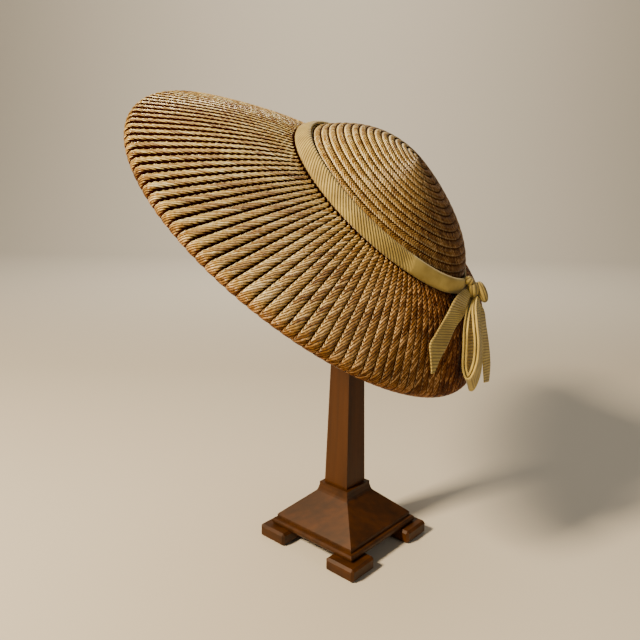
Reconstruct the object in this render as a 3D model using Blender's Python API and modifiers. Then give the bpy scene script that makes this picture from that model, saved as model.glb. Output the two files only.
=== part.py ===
"""A straw poke bonnet on a plain wooden hat stand.

The crown is a low dome of straw braid sewn round and round.
The brim is a deep cone of plaited straw ribs that run from crown to edge,
where they turn under in a soft roll. A folded ribbon goes round the crown
and is tied at the back in a bow with one loop and two tails.
Lengths are in metres, angles in degrees, +Z is up.
The feet stand on Z = 0 and the Z axis runs through the middle of the whole outline.
"""
import math

import bmesh
import bpy
import numpy as np
from mathutils import Matrix, Vector
from mathutils.bvhtree import BVHTree

# General
GAP = 0.0003
STRAW_WALL = 0.0024

# Crown, measured over the straw where it meets the brim
CROWN_LENGTH = 0.1930
CROWN_WIDTH = 0.1590
CROWN_HEIGHT = 0.0535
CROWN_SKIRT = 0.0032
POLE_AHEAD = 0.0113
ROW_WIDTH = 0.0058
ROW_DEPTH = 0.0010
DOME_INWARD_FRONT = 0.92
DOME_INWARD_BACK = 1.52
DOME_UPWARD_FRONT = 1.98
DOME_UPWARD_BACK = 1.00
CROWN_COLUMNS = 32

# Brim: how far each part of the edge lies outside the crown, and below its foot
FRONT_REACH = 0.1178
SIDE_REACH = 0.0880
BACK_REACH = 0.0718
FRONT_DROP = 0.0675
SIDE_DROP = 0.0480
BACK_DROP = 0.0530
FRONT_ARCH = 0.0105
SIDE_ARCH = 0.0038
BACK_ARCH = 0.0300
ARCH_PLACE = 0.32
WIDEST_AHEAD = 0.0016
FRONT_FULLNESS = 0.0080
EDGE_ROLL = 0.0080
RIB_WIDTH = 0.0044
RIB_DEPTH_AT_CROWN = 0.0008
RIB_DEPTH_AT_EDGE = 0.0020
BRIM_STEPS = (0.0, 0.35, 0.70, 1.0)
ROLL_ANGLES = (65.0, 130.0)

# Ribbon round the crown
BAND_WIDTH = 0.0132
BAND_THICK = 0.0034
BAND_GAP = 0.00045
BAND_GATHER = 0.45
BAND_SLIP = 0.0040
SLIP_NEAR = 48.0
SLIP_FAR = 16.0

# Shape of the folded band: share of its width up the crown, share of its thickness out
BAND_SECTION = (
    # up, out
    (0.07, 0.50),
    (0.20, 0.90),
    (0.55, 1.00),
    (0.92, 0.88),
    (1.04, 0.45),
    (1.00, 0.00),
    (0.68, 0.00),
    (0.36, 0.00),
    (0.05, 0.00),
)

# Bow, tied at the back on the near side
TAIL_THICK = 0.0016
LOOP_THICK = 0.0030
KNOT_ANGLE = -26.0
KNOT_WIDE = 0.0130
KNOT_TALL = 0.0150
KNOT_DEEP = 0.0115
FOLD_WIDE = 0.0085
FOLD_TALL = 0.0185
FOLD_DEEP = 0.0085
FOLD_TILT = 40.0
FOLD_ROUND = 0.0052
FOLD_LOWER = 0.0009
FOLD_OUT = 0.0070
NEAR_TAIL_LENGTH = 0.0785
FAR_TAIL_LENGTH = 0.0880
TAIL_LIFT = 0.0038
LOOP_LENGTH = 0.0860
LOOP_DEPTH = 0.0245

# Edges of the bow's ribbons over the brim: share of the length down it, degrees round from
# the knot and share of the lift or depth off it, for the ribbon's left and right edge
NEAR_TAIL_EDGES = (
    # left down, left round, left off, right down, right round, right off
    (0.163, -0.4, 1.90, 0.173, 0.4, 1.90),
    (0.10, -4.0, 2.40, 0.14, -1.8, 2.40),
    (0.10, -11.0, 2.10, 0.18, -6.0, 2.20),
    (0.175, -18.8, 1.55, 0.25, -10.6, 1.70),
    (0.34, -26.2, 1.20, 0.334, -14.2, 1.25),
    (0.47, -30.2, 1.05, 0.447, -20.6, 1.05),
    (0.58, -32.8, 1.00, 0.54, -23.5, 1.00),
    (0.68, -34.8, 1.00, 0.64, -25.8, 1.00),
    (0.80, -33.9, 1.05, 0.77, -28.9, 1.05),
    (0.95, -32.4, 1.10, 0.94, -31.3, 1.10),
)
FAR_TAIL_EDGES = (
    # left down, left round, left off, right down, right round, right off
    (0.15, 1.0, 1.50, 0.15, 2.6, 1.50),
    (0.28, 3.0, 1.35, 0.31, 7.0, 1.65),
    (0.46, 2.0, 1.00, 0.49, 8.0, 1.30),
    (0.64, 2.0, 1.10, 0.685, 8.0, 2.05),
    (0.86, 3.0, 2.05, 0.87, 8.0, 3.25),
    (1.01, 3.0, 3.30, 1.05, 8.0, 4.30),
)
LOOP_EDGES = (
    # left down, left round, left off, right down, right round, right off
    (0.17, -1.2, 0.28, 0.17, 0.4, 0.28),
    (0.25, -9.0, 0.24, 0.25, -4.0, 0.24),
    (0.42, -15.2, 0.24, 0.42, -9.2, 0.24),
    (0.61, -16.4, 0.24, 0.61, -11.0, 0.24),
    (0.75, -16.6, 0.27, 0.79, -11.4, 0.27),
    (0.82, -16.6, 0.36, 0.93, -11.4, 0.36),
    (0.85, -16.8, 0.48, 0.98, -11.6, 0.45),
    (0.79, -17.0, 0.60, 0.92, -12.0, 0.54),
    (0.68, -17.0, 0.68, 0.80, -12.2, 0.60),
    (0.54, -17.0, 0.69, 0.62, -12.5, 0.61),
    (0.40, -15.5, 0.60, 0.42, -11.0, 0.53),
    (0.26, -10.0, 0.46, 0.25, -4.5, 0.43),
    (0.18, -1.2, 0.40, 0.18, 0.4, 0.40),
)

# How the bonnet sits on the stand
TIP_BACK = 41.6
TIP_SIDE = 21.8
TURN = -6.5
BONNET_RIGHT = 0.0263
BONNET_FORWARD = 0.0104

# Stand
STAND_TURN = 3.6
FOOT_SPAN = 0.1162
FOOT_SIDE = 0.0320
FOOT_HEIGHT = 0.0127
FOOT_ROUND = 0.0022
MOULDING_SPAN = 0.0992
MOULDING_HEIGHT = 0.0063
BASE_SPAN = 0.0920
BASE_EDGE = 0.0045
BASE_RISE = 0.0260
COLLAR_SPAN = 0.0342
COLLAR_HEIGHT = 0.0070
COLLAR_COVE = 0.0020
POST_FOOT_SPAN = 0.0273
POST_TOP_SPAN = 0.0150
STAND_HEIGHT = 0.3842
REST_RADIUS = 0.0310
REST_SHARE = 0.40
REST_SIDES = 20
REST_STEPS = 7

PART = "poke_bonnet_on_stand"


def clear_scene():
    """Starts from an empty scene."""
    for thing in list(bpy.data.objects):
        bpy.data.objects.remove(thing, do_unlink=True)
    for group in list(bpy.data.collections):
        bpy.data.collections.remove(group)


def new_collection(name):
    group = bpy.data.collections.new(name)
    bpy.context.scene.collection.children.link(group)
    return group


def make_material(name, colour, roughness):
    material = bpy.data.materials.new(name)
    material.use_nodes = True
    shader = material.node_tree.nodes["Principled BSDF"]
    shader.inputs["Base Color"].default_value = (*colour, 1.0)
    shader.inputs["Roughness"].default_value = roughness
    shader.inputs["Metallic"].default_value = 0.0
    return material


def smooth_shade(mesh, degrees):
    mesh.shade_smooth()
    mesh.set_sharp_from_angle(angle=math.radians(degrees))


def add_object(name, mesh, material, group, place=None):
    thing = bpy.data.objects.new(name, mesh)
    thing.data.materials.append(material)
    group.objects.link(thing)
    if place is not None:
        thing.matrix_world = place
    return thing


def mesh_of_rings(name, rings, loop=True, pole=None, ends=False):
    """Skins closed rings of equal count; loop joins the last ring to the first."""
    count = len(rings[0])
    points = [tuple(p) for ring in rings for p in ring]
    faces = []
    spans = len(rings) if loop else len(rings) - 1
    for i in range(spans):
        low = i * count
        high = ((i + 1) % len(rings)) * count
        for j in range(count):
            k = (j + 1) % count
            faces.append((low + j, low + k, high + k, high + j))
    if pole is not None:
        points.append(tuple(pole))
        last = (len(rings) - 1) * count
        for j in range(count):
            faces.append((last + j, last + (j + 1) % count, len(points) - 1))
    if ends:
        last = (len(rings) - 1) * count
        faces.append(tuple(reversed(range(count))))
        faces.append(tuple(range(last, last + count)))
    mesh = bpy.data.meshes.new(name)
    mesh.from_pydata(points, [], faces)
    mesh.validate()
    return mesh


def add_wall(thing, thickness):
    wall = thing.modifiers.new("wall", "SOLIDIFY")
    wall.thickness = thickness
    wall.offset = -1.0
    return wall


# Crown

def dome_point(angle, rise):
    """A point on the crown's outer face; rise runs from 0 at the brim to 90 at the pole."""
    front = 0.5 - 0.5 * math.cos(angle)
    inward_power = DOME_INWARD_BACK + (DOME_INWARD_FRONT - DOME_INWARD_BACK) * front
    upward_power = DOME_UPWARD_BACK + (DOME_UPWARD_FRONT - DOME_UPWARD_BACK) * front
    inward = math.cos(math.radians(rise)) ** inward_power
    upward = math.sin(math.radians(rise)) ** upward_power
    x = 0.5 * CROWN_LENGTH * inward * math.cos(angle) - POLE_AHEAD * upward
    y = 0.5 * CROWN_WIDTH * inward * math.sin(angle)
    return Vector((x, y, CROWN_HEIGHT * upward))


def dome_line(angle, steps=60):
    """The crown's outer line from brim to pole with the length run along it."""
    points = [dome_point(angle, 90.0 * i / steps) for i in range(steps)]
    points.append(Vector((-POLE_AHEAD, 0.0, CROWN_HEIGHT)))
    run = [0.0]
    for first, second in zip(points, points[1:]):
        run.append(run[-1] + (second - first).length)
    return points, run


def point_on_line(points, run, distance):
    xs = [p.x for p in points]
    ys = [p.y for p in points]
    zs = [p.z for p in points]
    return Vector([float(np.interp(distance, run, values)) for values in (xs, ys, zs)])


def dome_frame(angle, distance):
    """Point, way up the crown and way out of it, at a distance above the brim."""
    points, run = dome_line(angle)
    step = 0.001
    here = point_on_line(points, run, distance)
    low = point_on_line(points, run, max(distance - step, 0.0))
    high = point_on_line(points, run, distance + step)
    up = (high - low).normalized()
    side_step = math.radians(1.0)
    points_b, run_b = dome_line(angle + side_step)
    around = (point_on_line(points_b, run_b, distance) - here).normalized()
    out = around.cross(up).normalized()
    return here, up, out


def crown_mesh():
    """Rows of sewn braid, each a low round ridge, from the skirt up to the pole."""
    side_run = dome_line(math.radians(-90.0))[1][-1]
    rows = max(4, round(side_run / ROW_WIDTH))
    angles = [math.tau * j / CROWN_COLUMNS for j in range(CROWN_COLUMNS)]
    lengths = [dome_line(angle)[1][-1] for angle in angles]
    skirt = [dome_point(angle, 0.0) - Vector((0.0, 0.0, CROWN_SKIRT)) for angle in angles]
    rings = [skirt]
    for i in range(2 * rows - 1):
        share = i / (2 * rows)
        depth = ROW_DEPTH * (i % 2)
        ring = []
        for angle, length in zip(angles, lengths):
            here, _, out = dome_frame(angle, share * length)
            ring.append(here - out * depth)
        rings.append(ring)
    pole = Vector((-POLE_AHEAD, 0.0, CROWN_HEIGHT))
    return mesh_of_rings("crown", rings, loop=False, pole=pole)


# Brim

def brim_start(angle):
    """Where the brim meets the crown, just clear of its skirt."""
    x = (0.5 * CROWN_LENGTH + GAP) * math.cos(angle)
    y = (0.5 * CROWN_WIDTH + GAP) * math.sin(angle)
    return Vector((x, y, 0.0))


def blend_round(angle, front, side, back):
    """A value that is front at 180 degrees, side at 90 and back at 0."""
    middle = 0.25 * (front + 2.0 * side + back)
    swing = 0.5 * (back - front)
    second = 0.25 * (front - 2.0 * side + back)
    return middle + swing * math.cos(angle) + second * math.cos(2.0 * angle)


def brim_edge(angle):
    """The outermost line of the brim."""
    front = -0.5 * CROWN_LENGTH - FRONT_REACH
    back = 0.5 * CROWN_LENGTH + BACK_REACH
    centre = 0.25 * (front + back) - 0.5 * WIDEST_AHEAD
    second = 0.25 * (front + back) + 0.5 * WIDEST_AHEAD
    x = centre + 0.5 * (back - front) * math.cos(angle) + second * math.cos(2.0 * angle)
    y = (0.5 * CROWN_WIDTH + SIDE_REACH) * math.sin(angle) - FRONT_FULLNESS * math.sin(2.0 * angle)
    return Vector((x, y, -blend_round(angle, FRONT_DROP, SIDE_DROP, BACK_DROP)))


def brim_bend(angle):
    """Start, bend and end of the brim's line, and the way out of its face."""
    start = brim_start(angle)
    edge = brim_edge(angle)
    line = edge - start
    step = math.radians(1.0)
    around = (brim_start(angle + step) - brim_start(angle - step)).normalized()
    lift = line.cross(around).normalized()
    bend = start + ARCH_PLACE * line + lift * blend_round(angle, FRONT_ARCH, SIDE_ARCH, BACK_ARCH)
    end = edge - (edge - bend).normalized() * EDGE_ROLL
    return start, bend, end, around


def brim_point(angle, share):
    """Point on the smooth upper face and the way out of it, share 0 to 1."""
    start, bend, end, around = brim_bend(angle)
    here = (1.0 - share) ** 2 * start + 2.0 * share * (1.0 - share) * bend + share ** 2 * end
    along = ((1.0 - share) * (bend - start) + share * (end - bend)).normalized()
    out = along.cross(around).normalized()
    return here, along, out


def level_out(angle):
    """The level direction that points straight out of the crown's oval."""
    x = math.cos(angle) / CROWN_LENGTH
    y = math.sin(angle) / CROWN_WIDTH
    return Vector((x, y, 0.0)).normalized()


def brim_ribs():
    """How many ribs fit round the crown."""
    a = 0.5 * CROWN_LENGTH
    b = 0.5 * CROWN_WIDTH
    girth = math.tau * math.sqrt(0.5 * (a * a + b * b))
    return max(24, round(girth / RIB_WIDTH))


def brim_mesh():
    """Ribs as a folded surface, a crest and a groove each, from crown to turned edge."""
    columns = 2 * brim_ribs()
    rings = []
    angles = [-math.tau * j / columns for j in range(columns)]
    for share in BRIM_STEPS:
        ring = []
        for j, angle in enumerate(angles):
            depth = RIB_DEPTH_AT_CROWN + (RIB_DEPTH_AT_EDGE - RIB_DEPTH_AT_CROWN) * share
            here, along, out = brim_point(angle, share)
            if share == 0.0:
                lean = brim_point(angle, BRIM_STEPS[1])[2].dot(level_out(angle))
                here += along * (STRAW_WALL + depth) * max(0.0, lean)
            ring.append(here - out * depth * (j % 2))
        rings.append(ring)
    for degrees in ROLL_ANGLES:
        turn = math.radians(degrees)
        ring = []
        for j, angle in enumerate(angles):
            here, along, out = brim_point(angle, 1.0)
            radius = EDGE_ROLL - RIB_DEPTH_AT_EDGE * (j % 2)
            centre = here - out * EDGE_ROLL
            ring.append(centre + radius * (math.cos(turn) * out + math.sin(turn) * along))
        rings.append(ring)
    return mesh_of_rings("brim", rings, loop=False)


# Ribbon

def eased(share):
    share = min(1.0, max(0.0, share))
    return share * share * (3.0 - 2.0 * share)


def away_from_knot(angle):
    """Degrees round from the knot, positive on the far side."""
    return (math.degrees(angle) - KNOT_ANGLE + 180.0) % 360.0 - 180.0


def band_slip(angle):
    """How far the bow draws the band off the crown and over the brim, most at the knot."""
    away = away_from_knot(angle)
    spread = SLIP_NEAR if away < 0.0 else SLIP_FAR
    return BAND_SLIP * eased(1.0 - abs(away) / spread)


def band_fullness(angle):
    """Share of the band's width and thickness, less beyond the knot where it is drawn tight."""
    away = away_from_knot(angle)
    return 1.0 - BAND_GATHER * eased(away / 18.0) * eased((120.0 - away) / 50.0)


def band_point(angle, up_share, out_share):
    """A point of the band and the way up and out there."""
    full = band_fullness(angle)
    here, up, out = dome_frame(angle, up_share * full * BAND_WIDTH)
    here += brim_point(angle, 0.0)[1] * band_slip(angle)
    return here + out * (BAND_GAP + out_share * full * BAND_THICK), up, out


def band_face(angle):
    """The middle of the band's flat outer face between two columns."""
    step = math.tau / CROWN_COLUMNS
    low = math.floor(angle / step) * step
    first = band_point(low, 0.5, 1.0)[0]
    second = band_point(low + step, 0.5, 1.0)[0]
    return first.lerp(second, (angle - low) / step)


def band_mesh():
    """A padded band that follows the crown's wall and sits on the brim."""
    rings = []
    for up_share, out_share in BAND_SECTION:
        ring = []
        for j in range(CROWN_COLUMNS):
            ring.append(band_point(math.tau * j / CROWN_COLUMNS, up_share, out_share)[0])
        rings.append(ring)
    return mesh_of_rings("ribbon_band", rings)


# Bow

def over_brim(angle, distance, lift):
    """A point a distance down the brim from the crown and lifted off it, also past its edge."""
    steps = 16
    line = [brim_point(angle, i / steps)[0] for i in range(steps + 1)]
    run = [0.0]
    for first, second in zip(line, line[1:]):
        run.append(run[-1] + (second - first).length)
    share = float(np.interp(distance, run, [i / steps for i in range(steps + 1)]))
    here, along, out = brim_point(angle, share)
    return here + along * max(0.0, distance - run[-1]) + out * lift


def ribbon_mesh(name, left, right, thickness):
    """A flat ribbon of the given thickness between its two edges."""
    middle = [0.5 * (a + b) for a, b in zip(left, right)]
    rings = []
    for i, (a, b) in enumerate(zip(left, right)):
        along = middle[min(i + 1, len(middle) - 1)] - middle[max(i - 1, 0)]
        face = along.cross(b - a).normalized() * (0.5 * thickness)
        rings.append([a - face, b - face, b + face, a + face])
    return mesh_of_rings(name, rings, loop=False, ends=True)


def edge_points(rows, length, lift):
    """Left and right edge of a ribbon from its table."""
    left = []
    right = []
    for left_down, left_round, left_off, right_down, right_round, right_off in rows:
        near = math.radians(KNOT_ANGLE + left_round)
        far = math.radians(KNOT_ANGLE + right_round)
        left.append(over_brim(near, left_down * length, left_off * lift))
        right.append(over_brim(far, right_down * length, right_off * lift))
    return left, right


def lump(name, centre, axes, sizes):
    """A soft rounded lump of folded ribbon."""
    shape = bmesh.new()
    bmesh.ops.create_uvsphere(shape, u_segments=12, v_segments=8, radius=0.5)
    mesh = bpy.data.meshes.new(name)
    turn = Matrix(axes).transposed().to_4x4()
    scale = Matrix.Diagonal((*sizes, 1.0))
    bmesh.ops.transform(shape, matrix=Matrix.Translation(centre) @ turn @ scale, verts=shape.verts)
    shape.to_mesh(mesh)
    shape.free()
    return mesh


def trim_to_knot(ribbon, cutter):
    cut = ribbon.modifiers.new("trim_at_knot", "BOOLEAN")
    cut.operation = "DIFFERENCE"
    cut.object = cutter


def add_bow(material, group, cutters, place):
    """The knot bears on the middle of the band; what meets it stops a gap away from it."""
    _, up, out = band_point(math.radians(KNOT_ANGLE), 0.5, 1.0)
    face = band_face(math.radians(KNOT_ANGLE))
    around = up.cross(out).normalized()
    axes = (around, up, out)
    centre = face + out * (0.5 * KNOT_DEEP + GAP)
    sizes = (KNOT_WIDE, KNOT_TALL, KNOT_DEEP)
    add_object("bow_knot", lump("bow_knot", centre, axes, sizes), material, group, place)
    grown = tuple(size + 2.0 * GAP for size in sizes)
    cutter = add_object("knot_cutter", lump("knot_cutter", centre, axes, grown), material, cutters, place)
    cutter.hide_render = True
    cutter.display_type = "WIRE"
    fold_centre = centre + around * FOLD_ROUND - up * FOLD_LOWER + out * FOLD_OUT
    tilt = Matrix.Rotation(math.radians(-FOLD_TILT), 3, around)
    fold_axes = (around, tilt @ up, tilt @ out)
    fold_mesh = lump("bow_fold", fold_centre, fold_axes, (FOLD_WIDE, FOLD_TALL, FOLD_DEEP))
    trim_to_knot(add_object("bow_fold", fold_mesh, material, group, place), cutter)
    ribbons = (
        ("bow_tail_near", NEAR_TAIL_EDGES, NEAR_TAIL_LENGTH, TAIL_LIFT, TAIL_THICK),
        ("bow_tail_far", FAR_TAIL_EDGES, FAR_TAIL_LENGTH, TAIL_LIFT, TAIL_THICK),
        ("bow_loop", LOOP_EDGES, LOOP_LENGTH, LOOP_DEPTH, LOOP_THICK),
    )
    for name, rows, length, lift, thickness in ribbons:
        left, right = edge_points(rows, length, lift)
        mesh = ribbon_mesh(name, left, right, thickness)
        piece = add_object(name, mesh, material, group, place)
        trim_to_knot(piece, cutter)


# Stand

def square_profile(name, profile, material, group, turn):
    """Turns a profile in four steps, which gives mitred square mouldings."""
    corner = math.sqrt(0.5)
    points = [(corner * span, 0.0, height) for span, height in profile]
    edges = [(i, i + 1) for i in range(len(points) - 1)]
    mesh = bpy.data.meshes.new(name)
    mesh.from_pydata(points, edges, [])
    thing = add_object(name, mesh, material, group)
    thing.rotation_euler = (0.0, 0.0, math.radians(turn))
    screw = thing.modifiers.new("four_sides", "SCREW")
    screw.angle = math.tau
    screw.steps = 4
    screw.render_steps = 4
    screw.use_merge_vertices = True
    screw.merge_threshold = 0.00001
    screw.use_smooth_shade = False
    return thing


def stand_base(material, group):
    floor = FOOT_HEIGHT + GAP
    step = floor + MOULDING_HEIGHT
    edge = step + BASE_EDGE
    slope = edge + BASE_RISE
    top = slope + COLLAR_HEIGHT
    cove = COLLAR_COVE
    profile = [
        (0.0, top),
        (COLLAR_SPAN, top),
        (COLLAR_SPAN, top - 0.4 * COLLAR_HEIGHT),
        (COLLAR_SPAN + cove, slope),
        (COLLAR_SPAN + 2.0 * cove, slope - 0.3 * COLLAR_HEIGHT),
        (BASE_SPAN - cove, edge),
        (BASE_SPAN, edge - 0.3 * BASE_EDGE),
        (BASE_SPAN, step),
        (MOULDING_SPAN - cove, step - 0.1 * MOULDING_HEIGHT),
        (MOULDING_SPAN, step - 0.4 * MOULDING_HEIGHT),
        (MOULDING_SPAN, floor + 0.3 * MOULDING_HEIGHT),
        (MOULDING_SPAN - cove, floor),
        (0.0, floor),
    ]
    square_profile("stand_base", profile, material, group, STAND_TURN)
    return top


def stand_post(material, group, foot, top):
    profile = [
        (0.0, top),
        (POST_TOP_SPAN, top),
        (POST_FOOT_SPAN, foot + GAP),
        (0.0, foot + GAP),
    ]
    square_profile("stand_post", profile, material, group, STAND_TURN)


def stand_feet(material, group):
    """Four square blocks under the corners of the moulding."""
    mesh = bpy.data.meshes.new("stand_foot")
    shape = bmesh.new()
    bmesh.ops.create_cube(shape, size=1.0)
    bmesh.ops.scale(shape, vec=(FOOT_SIDE, FOOT_SIDE, FOOT_HEIGHT), verts=shape.verts)
    shape.to_mesh(mesh)
    shape.free()
    reach = 0.5 * (FOOT_SPAN - FOOT_SIDE)
    for number, (right, forward) in enumerate(((-1, -1), (1, -1), (1, 1), (-1, 1)), start=1):
        spin = Matrix.Rotation(math.radians(45.0 + STAND_TURN), 4, "Z")
        place = spin @ Matrix.Translation((right * reach, forward * reach, 0.5 * FOOT_HEIGHT))
        foot = add_object(f"stand_foot_{number}", mesh, material, group, place)
        rounding = foot.modifiers.new("rounding", "BEVEL")
        rounding.width = FOOT_ROUND
        rounding.segments = 1


def stand_rest(material, group):
    """The plain ball-topped rest inside the crown, hidden by the straw."""
    centre = STAND_HEIGHT - REST_RADIUS
    low = math.asin(REST_SHARE)
    points = []
    for i in range(REST_STEPS + 1):
        turn = 0.5 * math.pi - (0.5 * math.pi + low) * i / REST_STEPS
        points.append((REST_RADIUS * math.cos(turn), 0.0, centre + REST_RADIUS * math.sin(turn)))
    points[0] = (0.0, 0.0, STAND_HEIGHT)
    floor = points[-1][2]
    points.append((0.0, 0.0, floor))
    mesh = bpy.data.meshes.new("stand_rest")
    mesh.from_pydata(points, [(i, i + 1) for i in range(len(points) - 1)], [])
    rest = add_object("stand_rest", mesh, material, group)
    screw = rest.modifiers.new("turning", "SCREW")
    screw.angle = math.tau
    screw.steps = REST_SIDES
    screw.render_steps = REST_SIDES
    screw.use_merge_vertices = True
    screw.merge_threshold = 0.00001
    return floor


def bonnet_place(crown):
    """Lowers the tipped bonnet until its crown rests on the ball of the stand."""
    spin = Matrix.Rotation(math.radians(TURN), 4, "Z")
    spin = spin @ Matrix.Rotation(math.radians(TIP_SIDE), 4, "X")
    spin = spin @ Matrix.Rotation(math.radians(TIP_BACK), 4, "Y")
    bpy.context.view_layer.update()
    walls = BVHTree.FromObject(crown, bpy.context.evaluated_depsgraph_get())
    ball = Vector((0.0, 0.0, STAND_HEIGHT - REST_RADIUS))

    def place_at(drop):
        above = Vector((BONNET_RIGHT, -BONNET_FORWARD, CROWN_HEIGHT - drop))
        return Matrix.Translation(ball + above) @ spin

    def is_clear(drop):
        near = walls.find_nearest(place_at(drop).inverted() @ ball)
        return near[3] > REST_RADIUS + GAP

    step = 0.25 * REST_RADIUS
    low = 0.0
    while is_clear(low + step) and low < CROWN_LENGTH:
        low += step
    high = low + step
    for _ in range(30):
        drop = 0.5 * (low + high)
        if is_clear(drop):
            low = drop
        else:
            high = drop
    return place_at(low)


def centre_on_axis(group):
    """Moves everything so that the middle of the outline stands on the Z axis."""
    bpy.context.view_layer.update()
    depsgraph = bpy.context.evaluated_depsgraph_get()
    corners = []
    for thing in group.objects:
        solid = thing.evaluated_get(depsgraph)
        mesh = solid.to_mesh()
        corners.extend(thing.matrix_world @ vertex.co for vertex in mesh.vertices)
        solid.to_mesh_clear()
    middle_x = 0.5 * (min(p.x for p in corners) + max(p.x for p in corners))
    middle_y = 0.5 * (min(p.y for p in corners) + max(p.y for p in corners))
    shift = Matrix.Translation((-middle_x, -middle_y, 0.0))
    for thing in bpy.data.objects:
        thing.matrix_world = shift @ thing.matrix_world


def main():
    clear_scene()
    group = new_collection(PART)
    straw = make_material("plaited_straw", (0.42, 0.23, 0.10), 0.55)
    ribbon = make_material("corded_ribbon", (0.50, 0.40, 0.13), 0.70)
    wood = make_material("stained_wood", (0.22, 0.09, 0.03), 0.40)

    base_top = stand_base(wood, group)
    stand_feet(wood, group)
    rest_floor = stand_rest(wood, group)
    stand_post(wood, group, base_top, rest_floor - GAP)

    crown = add_object("crown", crown_mesh(), straw, group)
    add_wall(crown, STRAW_WALL)
    place = bonnet_place(crown)
    crown.matrix_world = place
    brim = add_object("brim", brim_mesh(), straw, group, place)
    add_wall(brim, STRAW_WALL)
    add_object("ribbon_band", band_mesh(), ribbon, group, place)
    cutters = new_collection("cutters")
    add_bow(ribbon, group, cutters, place)
    for thing in group.objects:
        smooth_shade(thing.data, 50.0)
    centre_on_axis(group)


main()
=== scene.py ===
"""Picture of a straw poke bonnet tipped back on a square wooden hat stand.

Metres and degrees. The bonnet is worked out in its own frame: the middle of the crown's
foot is its origin, +X its back and +Z the way out of the crown's top. Round it, 0 is the
back, 180 the front, and negative angles are the side that faces the camera.
"""
import math

import bpy
import numpy as np
from mathutils import Matrix, Vector


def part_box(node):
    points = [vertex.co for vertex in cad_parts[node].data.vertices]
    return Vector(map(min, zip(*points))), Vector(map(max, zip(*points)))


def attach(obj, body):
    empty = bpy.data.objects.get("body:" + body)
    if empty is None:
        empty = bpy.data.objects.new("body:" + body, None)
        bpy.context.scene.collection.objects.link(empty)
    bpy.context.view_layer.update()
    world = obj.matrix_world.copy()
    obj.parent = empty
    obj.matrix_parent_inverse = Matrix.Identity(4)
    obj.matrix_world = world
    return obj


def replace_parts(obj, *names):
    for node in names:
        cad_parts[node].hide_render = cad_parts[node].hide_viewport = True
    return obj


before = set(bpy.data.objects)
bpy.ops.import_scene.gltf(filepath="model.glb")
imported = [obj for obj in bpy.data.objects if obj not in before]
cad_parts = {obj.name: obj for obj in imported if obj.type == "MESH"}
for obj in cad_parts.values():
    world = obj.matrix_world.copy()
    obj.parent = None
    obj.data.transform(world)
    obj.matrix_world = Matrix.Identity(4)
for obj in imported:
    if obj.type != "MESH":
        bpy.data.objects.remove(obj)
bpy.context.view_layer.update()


# Brim: plaited straw ribs that run from the crown to the edge and turn under there.
# Each rib is a flat plait folded to a round ridge, wired and sewn to the next and varnished
# once; the grooves between ribs are darkened with painted shade.

TIP_BACK = 41.6
TIP_SIDE = 21.8
TURN = -6.5
BONNET_OFFSET = (0.0263, -0.0104)
BONNET_HEIGHT = 0.31888
CROWN_LENGTH = 0.1930
CROWN_WIDTH = 0.1590
FRONT_REACH = 0.1178
SIDE_REACH = 0.0880
BACK_REACH = 0.0718
FRONT_DROP = 0.0675
SIDE_DROP = 0.0480
BACK_DROP = 0.0530
FRONT_ARCH = 0.0105
SIDE_ARCH = 0.0038
BACK_ARCH = 0.0300
ARCH_PLACE = 0.32
WIDEST_AHEAD = 0.0016
FRONT_FULLNESS = 0.0080
EDGE_ROLL = 0.0080
ROLL_TURN = 205.0
ROLL_ROWS = 30
ROLL_FADES_GROOVE = 0.3
ROLL_FADES_FRESH_AND_LIT = 0.8
STRAW_WALL = 0.0024
RIBS = 126
RIB_PROFILE = (
    # place across the rib, height of it, from the groove on its back side to the next
    (0.00, 0.00),
    (0.08, 0.28),
    (0.17, 0.58),
    (0.29, 0.82),
    (0.43, 0.95),
    (0.58, 1.00),
    (0.74, 0.94),
    (0.87, 0.76),
    (0.95, 0.42),
    (1.00, 0.00),
)
RIB_STEP = 0.0009
RIB_AT_CROWN = 0.0044
RIB_AT_EDGE = 0.0086
GROOVE_AT_CROWN = 0.0021
GROOVE_AT_EDGE = 0.0042
ROLL_FLATTER = 0.75
PLAIT_APEX = 0.87
STRAND_LIE = (
    # degrees from the back over the near side, slant to the rib, pitch down it, depth of groove
    (0, 38, 0.0030, 0.12),
    (55, 36, 0.0032, 0.17),
    (90, 28, 0.0038, 0.32),
    (118, 19, 0.0046, 0.75),
    (135, 17, 0.0048, 1.00),
    (240, 17, 0.0048, 1.00),
    (290, 28, 0.0036, 0.45),
    (360, 36, 0.0030, 0.16),
)
STRAND_SHIFT = 0.37
TOOTH = 0.0005
TOOTH_PLACE = 0.90
TOOTH_REACH = 0.06
GROOVE_SHARE = (
    # degrees from the back over the near side, share of a rib that painted shade in its groove darkens
    (0, 0.08),
    (60, 0.13),
    (95, 0.20),
    (130, 0.36),
    (150, 0.43),
    (165, 0.48),
    (180, 0.52),
    (205, 0.52),
    (235, 0.32),
    (270, 0.16),
    (360, 0.08),
)
BAND_SHADE = 0.0032
FRESH_AND_LIT_POWER = 1.6
BRIM_PIECES = 6


def linear(text):
    """An sRGB hex colour as linear red, green, blue and alpha."""
    values = [int(text[i:i + 2], 16) / 255.0 for i in (1, 3, 5)]
    return (*[v / 12.92 if v <= 0.04045 else ((v + 0.055) / 1.055) ** 2.4 for v in values], 1.0)


def add_node(material, kind, inputs=None, **settings):
    """Adds a node with its settings, and values or links on its inputs."""
    tree = material.node_tree
    node = tree.nodes.new(kind)
    for key, value in settings.items():
        setattr(node, key, value)
    for key, value in (inputs or {}).items():
        if isinstance(value, bpy.types.NodeSocket):
            tree.links.new(value, node.inputs[key])
        else:
            node.inputs[key].default_value = value
    return node


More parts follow.
